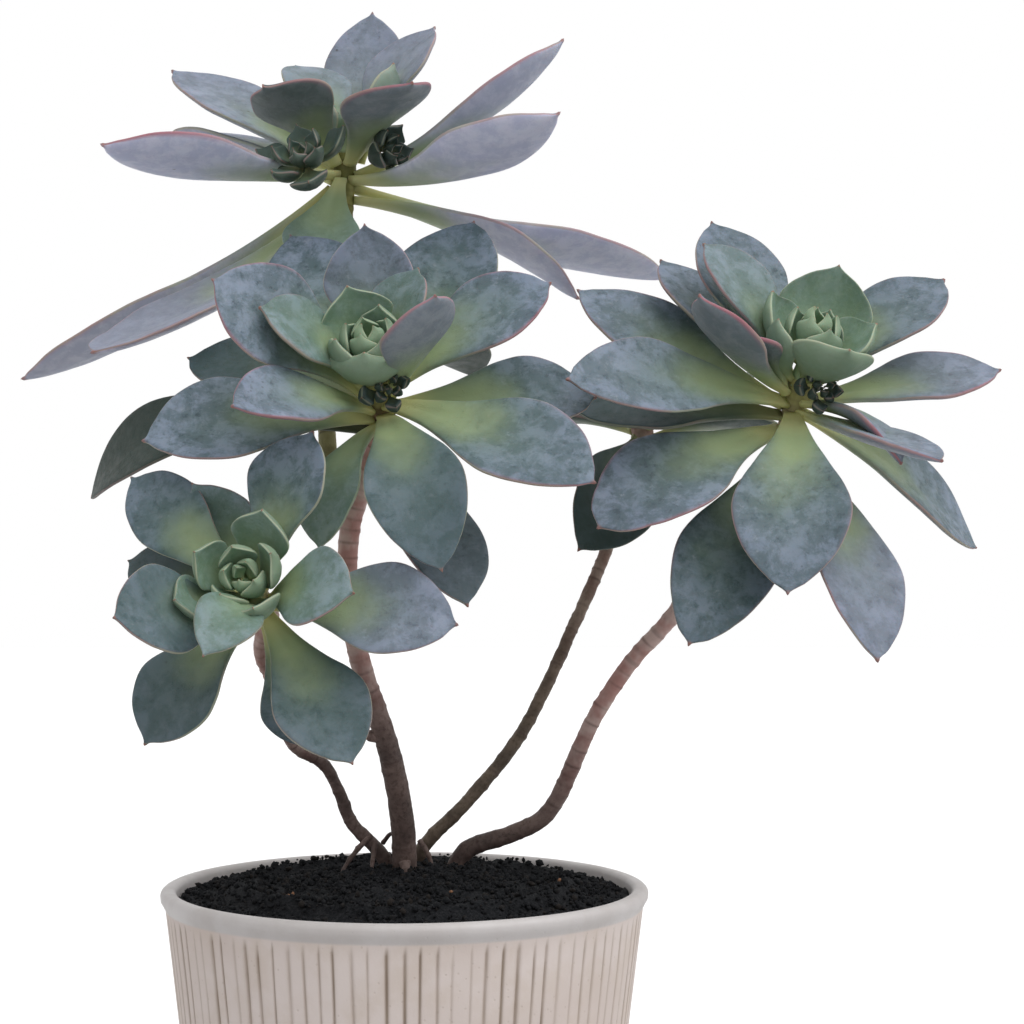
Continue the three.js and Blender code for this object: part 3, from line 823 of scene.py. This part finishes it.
# how olive and how pink each stem is along its length, and the millimetres that its foot is drawn out
STEM_TINTS = {
    "b": (rising(0.86, 0.97, 0.9), rising(0.35, 0.62, 0.8), 0),
    "a": (lambda share: 0.55 + 0.4 * share, even(0.2), 3.5),
    "c": (rising(0.88, 0.98, 0.9), rising(0.2, 0.5, 0.7), 0),
    "d": (rising(0.88, 1, 0.8), rising(0.35, 0.7, 0.6), 0),
    "e": (even(0.1), rising(0.4, 0.9, 0.35), 0),
}
for seed, (key, rings) in enumerate(stems.items(), start=31):
    bark = stem_surface(rings, seed, *STEM_TINTS[key])
    make_mesh(f"stem_{key}_bark", [bark], STEM_LAYERS, STEM, "stem_" + key)


def thread(points, radius, seed, pink=0.0):
    """A thin root or twig along a few points, half as thick at its far end."""
    steps, sides = 14, 8
    line = np.array(points, float) * MM
    fine = spline(np.linspace(0, 1, len(line)), line, np.linspace(0, 1, steps))
    turns = np.linspace(0, 2 * math.pi, sides, endpoint=False)
    rings = []
    for k, p in enumerate(fine):
        tangent = unit(fine[min(k + 1, steps - 1)] - fine[max(k - 1, 0)])
        side = unit(np.cross(tangent, [0.2, 0.3, 1]))
        other = np.cross(tangent, side)
        r = radius * MM * (1 - 0.5 * k / (steps - 1))
        rings.append([p + r * (math.cos(a) * side + math.sin(a) * other) for a in turns])
    return stem_surface(np.array(rings), seed, even(0.0), even(pink))


# points in millimetres, radius and seed
roots = [
    thread([(-9, 10, 119), (-12, 8, 116), (-15, 7, 112), (-17, 6, 108)], 0.8, 61),
    thread([(-6, 10, 117), (-4, 8, 119.5), (-2.5, 7, 119)], 0.6, 62),
    thread([(-8, 10, 117), (-8.5, 8, 113), (-9, 6, 108)], 0.7, 63),
    thread([(-0.3, 4.6, 113), (0.2, 3.4, 110.5), (0.4, 2.6, 107.5)], 1.5, 64),
    thread([(3, 15, 117), (5.5, 13, 113), (6.5, 12, 108)], 0.8, 65),
]
make_mesh("stem_roots", roots, STEM_LAYERS, STEM, "stem_d")
knob = thread([(-5.5, -4, 145), (-8.2, -5, 145.3), (-9.3, -5.3, 145.6)], 2.0, 66, pink=0.1)
make_mesh("stem_knob", [knob], STEM_LAYERS, STEM, "stem_b")


# ---- pot -----------------------------------------------------------------------------------------
# the CAD pot's sizes
pot_low, pot_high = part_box("pot")
tall, rim_radius = pot_high.z, (pot_high.x - pot_low.x) / 2
pot_co = np.array([v.co for v in NODES["pot"].data.vertices])
pot_r = np.hypot(pot_co[:, 0], pot_co[:, 1])
foot_radius = pot_r[np.abs(pot_co[:, 2]) < 0.01 * MM].max() + 1.2 * MM
mouth_radius = pot_r[pot_co[:, 2] > tall - 0.1 * MM].min()
floor = np.unique(np.round(pot_co[pot_r < 20 * MM][:, 2], 5))[-1]

RIM_BAND = 4.4 * MM
band = tall - RIM_BAND
FOOT_ROUND = 1.6 * MM
LIP_ROUND = 1.5 * MM
GROOVES = 94
# the columns of points of one groove, as shares of its pitch: most of them close to the groove
CUTS = np.array([-0.5, -0.3, -0.17, -0.1, -0.05, 0, 0.05, 0.1, 0.17, 0.3])


def wall(z):
    """The radius of the straight tapered wall."""
    return foot_radius + (rim_radius - 0.7 * MM - foot_radius) * z / tall


def pot_outline():
    """Radius and height of the turned pot: under its foot, up the wall, over the rim, down to the floor."""
    lip, inner_lip = LIP_ROUND, mouth_radius - 1.2 * MM
    outline = [(foot_radius * 0.5, 0.0), (foot_radius - FOOT_ROUND, 0.0)]
    for a in (0.4, 0.8, 1.2, 1.5):
        outline.append((foot_radius - FOOT_ROUND + FOOT_ROUND * math.sin(a), FOOT_ROUND * (1 - math.cos(a))))
    outline += [(wall(z), z) for z in np.linspace(2.6 * MM, band - 0.6 * MM, 46)]
    outline += [(wall(band) + out * MM, band + up * MM) for out, up in ((0.10, 0), (0.42, 0.5), (0.6, 0.9))]
    outline.append((rim_radius - 0.1 * MM, band + 1.8 * MM))
    for a in np.linspace(0.05, math.pi / 2, 6):
        outline.append((rim_radius - lip + lip * math.cos(a), tall - lip + lip * math.sin(a)))
    for a in np.linspace(0.2, math.pi / 2, 6):
        outline.append((inner_lip + lip - lip * math.sin(a), tall - lip + lip * math.cos(a)))
    outline += [(wall(z) - 3.4 * MM, z) for z in np.linspace(tall - 4 * MM, floor + 2 * MM, 8)]
    return outline + [(wall(floor) - 5.6 * MM, floor), (0.02, floor)]


def for_each_groove(z, scale, step, seed):
    """Smooth noise at a height, one value for each groove."""
    return np.array([noise.noise(Vector((i * step, z * scale, seed))) for i in range(GROOVES)])


def pot_surface():
    """The turned pot, with uneven upright grooves pressed into the wall under a smooth rim band."""
    chance = np.random.RandomState(4)
    shifts = chance.uniform(-0.13, 0.13, GROOVES)
    depths = chance.uniform(0.16, 0.65, GROOVES)
    widths = chance.uniform(0.05, 0.1, GROOVES)
    tops = chance.uniform(-0.4, 1.4, GROOVES)
    owner, offset = np.repeat(np.arange(GROOVES), len(CUTS)), np.tile(CUTS, GROOVES)
    # a groove's outer columns stay put, so that they never cross those of the next groove
    follow = np.clip((0.5 - np.abs(offset)) / 0.3, 0, 1)
    turns = 2 * math.pi * (owner + offset + shifts[owner] * follow) / GROOVES
    around = len(turns)
    points, attrs = [], []
    for radius, z in pot_outline():
        outer = radius > wall(z) - 1.5 * MM
        sway = for_each_groove(z, 55, 3.7, 0.5)[owner]
        turn = turns + sway * follow * 0.06 * 2 * math.pi / GROOVES
        dent, groove_shade = np.zeros(around), np.zeros(around)
        if outer and z < band:
            ragged = for_each_groove(z, 160, 5.1, 9.5)[owner]
            fade = smooth(1.5 * MM, 5 * MM, z) * smooth(0, 1.6 * MM, band - 0.8 * MM - tops[owner] * MM - z)
            dent = fade * depths[owner] * (0.8 + 0.35 * ragged) * np.exp(-((offset / widths[owner]) ** 2))
            # painted shade along each groove, a little wider than its dent and darker where the groove is
            # deeper
            painted_groove_shade = np.exp(-((offset / (widths[owner] * 1.5)) ** 2))
            groove_shade = fade * np.clip(depths[owner] * 2.0, 0, 1) * painted_groove_shade
        ring = np.stack([np.cos(turn) * radius, np.sin(turn) * radius, np.full(around, z)], 1)
        uneven = 0.12 * wobble(ring, 60, 2.0)
        r = radius - (dent + uneven * (1 if outer else 0.3)) * MM
        points.append(np.stack([r * np.cos(turn), r * np.sin(turn), np.full(around, z)], 1))
        attrs.append(np.stack([groove_shade, np.full(around, float(z > band - 0.2 * MM))], 1))
    faces = tube_faces(len(points), around, flip=True)
    points = np.vstack(points + [[[0, 0, 0]], [[0, 0, floor]]])
    attrs = np.vstack(attrs + [[[0, 0]], [[0, 0]]])
    return points, faces, attrs


make_mesh("pot_body", [pot_surface()], ("groove", "rim"), POT, "pot")


# ---- soil ----------------------------------------------------------------------------------------
# heights: the mound's top lies above MOUND_FOOT, and is MOUND where the CAD has no point near
MOUND_FOOT, MOUND, UNDERSIDE = 100 * MM, 109.5 * MM, 78 * MM
soil_co = np.array([v.co for v in NODES["soil"].data.vertices])
soil_r = np.hypot(soil_co[:, 0], soil_co[:, 1])
upper = soil_co[:, 2] > MOUND_FOOT
edge_radius = soil_r[upper].max()
profile = {(round(float(r), 4), round(float(z), 4)) for r, z in zip(soil_r[upper], soil_co[upper, 2])}
line_r = np.linspace(0, edge_radius, 12)
line_z = [max((z for r, z in profile if abs(r - q) < 4 * MM), default=MOUND) for q in line_r]
stem_feet = [rings[len(rings) // 6].mean(0) for key, rings in stems.items() if key != "a"]


def soil_height(x, y):
    """The CAD mound's height, with the loose crumbs' thickness, heaped a little round the stems."""
    near = sum(math.exp(-(((x - f[0]) ** 2 + (y - f[1]) ** 2) / (6 * MM) ** 2)) for f in stem_feet)
    return np.interp(np.hypot(x, y), line_r, line_z) + (0.8 + min(near, 1) * 1.2) * MM


def soil_surface():
    """The bumpy top of the mound, closed by a plain underside."""
    rings, around = 46, 150
    points, attrs = [], []
    for k in range(1, rings + 1):
        radius = (edge_radius + 0.2 * MM) * (k / rings) ** 0.8
        for i in range(around):
            a = 2 * math.pi * (i + 0.5 * (k % 2)) / around
            x, y = radius * math.cos(a), radius * math.sin(a)
            p = Vector((x, y, 0))
            bump = noise.noise(p * 320) * 1.0 + noise.noise(p * 800) * 0.9 + noise.noise(p * 90) * 0.8
            points.append((x, y, soil_height(x, y) + (bump - 0.6) * MM))
            attrs.append((0.4 + 0.4 * noise.noise(p * 500),))
    under_radius = edge_radius * 0.94
    for i in range(around):
        a = 2 * math.pi * i / around
        points.append((under_radius * math.cos(a), under_radius * math.sin(a), UNDERSIDE))
    points += [(0, 0, soil_height(0, 0)), (0, 0, UNDERSIDE)]
    attrs += [(0.3,)] * (around + 2)
    return np.array(points), tube_faces(rings + 1, around, flip=True), np.array(attrs)


def crumb(place, size, shade, chance):
    """One loose crumb: a small uneven lump."""
    bm = bmesh.new()
    bmesh.ops.create_icosphere(bm, subdivisions=1, radius=1)
    shift = Vector((chance.uniform(0, 50), chance.uniform(0, 50), 0))
    squash = [chance.uniform(0.55, 1.2) for _ in range(3)]
    turn = chance.uniform(0, 2 * math.pi)
    c, s = math.cos(turn), math.sin(turn)
    points = []
    for v in bm.verts:
        r = 1 + 0.55 * noise.noise(v.co * 1.7 + shift)
        x, y, z = (v.co[i] * squash[i] * r * size for i in range(3))
        points.append((place[0] + c * x - s * y, place[1] + s * x + c * y, place[2] + z))
    faces = [tuple(v.index for v in f.verts) for f in bm.faces]
    bm.free()
    return np.array(points), faces, np.full((len(points), 1), shade)


BARK_BIT = 1.0  # the shade of the few light bits of bark, past all the dark crumbs
crumbs = [soil_surface()]
chance = random.Random(21)
for _ in range(4200):
    r = (edge_radius - 1 * MM) * math.sqrt(chance.random())
    a = chance.uniform(0, 2 * math.pi)
    x, y = r * math.cos(a), r * math.sin(a)
    if any(math.hypot(x - f[0], y - f[1]) < 3.4 * MM for f in stem_feet):
        continue
    size = chance.choice([0.3, 0.35, 0.4, 0.5, 0.6, 0.9]) * MM
    crumbs.append(crumb((x, y, soil_height(x, y) + 0.1 * size), size, chance.uniform(0, 0.8), chance))
for x, y, size in ((-27, -22, 1.2), (-26, -20.5, 0.7), (38, -6, 0.6), (12, -24, 0.5)):
    x, y = x * MM, y * MM
    crumbs.append(crumb((x, y, soil_height(x, y) + 0.6 * MM), size * MM, BARK_BIT, chance))
make_mesh("soil_crumbs", crumbs, ("shade",), SOIL, "soil")


# ---- stage ---------------------------------------------------------------------------------------
def stage_floor():
    """Pale paper just under the pot, which neither throws light up at the plant nor keeps any from it."""
    material = Nodes("floor_paper").done(rgb(250, 250, 250), 0.9)
    bpy.ops.mesh.primitive_plane_add(size=6, location=(0, 0, -0.5 * MM))
    paper = bpy.context.object
    paper.name = "floor"
    paper.data.materials.append(material)
    paper.visible_diffuse = False


def studio_world():
    """A white backdrop whose soft light is strong from above and behind, weaker from the front and below."""
    world = bpy.data.worlds.new("studio")
    bpy.context.scene.world = world
    world.use_nodes = True
    tree = world.node_tree
    light = tree.nodes["Background"]
    light.inputs["Color"].default_value = (1, 1, 1, 1)
    white = tree.nodes.new("ShaderNodeBackground")
    white.inputs["Color"].default_value = (1, 1, 1, 1)
    coords = tree.nodes.new("ShaderNodeTexCoord")
    facing = tree.nodes.new("ShaderNodeVectorMath")
    facing.operation = "DOT_PRODUCT"
    facing.inputs[1].default_value = (0.22, 0.5, 0.8)
    level = tree.nodes.new("ShaderNodeMapRange")
    for key, value in (("From Min", -0.8), ("From Max", 0.8), ("To Min", 0.56), ("To Max", 0.88)):
        level.inputs[key].default_value = value
    seen = tree.nodes.new("ShaderNodeLightPath")
    both = tree.nodes.new("ShaderNodeMixShader")
    tree.links.new(coords.outputs["Generated"], facing.inputs[0])
    tree.links.new(facing.outputs["Value"], level.inputs["Value"])
    tree.links.new(level.outputs["Result"], light.inputs["Strength"])
    tree.links.new(seen.outputs["Is Camera Ray"], both.inputs[0])
    tree.links.new(light.outputs[0], both.inputs[1])
    tree.links.new(white.outputs[0], both.inputs[2])
    tree.links.new(both.outputs[0], tree.nodes["World Output"].inputs["Surface"])


def soft_sun(direction, power, spread):
    """A sun as wide as spread degrees, so that its shadows are soft."""
    light = bpy.data.lights.new("key", "SUN")
    light.energy = power
    light.angle = math.radians(spread)
    lamp = bpy.data.objects.new("key", light)
    lamp.rotation_euler = Vector(direction).to_track_quat("-Z", "Y").to_euler()
    bpy.context.scene.collection.objects.link(lamp)


def level_camera(right, front, above_rim):
    """A level camera that looks along +Y with a lens of about 24 degrees."""
    data = bpy.data.cameras.new("camera")
    data.sensor_width = 36
    data.lens = 86.4
    data.clip_start = 10 * MM
    camera = bpy.data.objects.new("camera", data)
    camera.location = (right, -front, tall + above_rim)
    camera.rotation_euler = (math.radians(90), 0, 0)
    bpy.context.scene.collection.objects.link(camera)
    bpy.context.scene.camera = camera


stage_floor()
studio_world()
soft_sun((-0.5, 0.4, -1.0), 1.55, 60)
level_camera(26.4 * MM, 608 * MM, 92.2 * MM)
bpy.context.scene.view_settings.view_transform = "Standard"
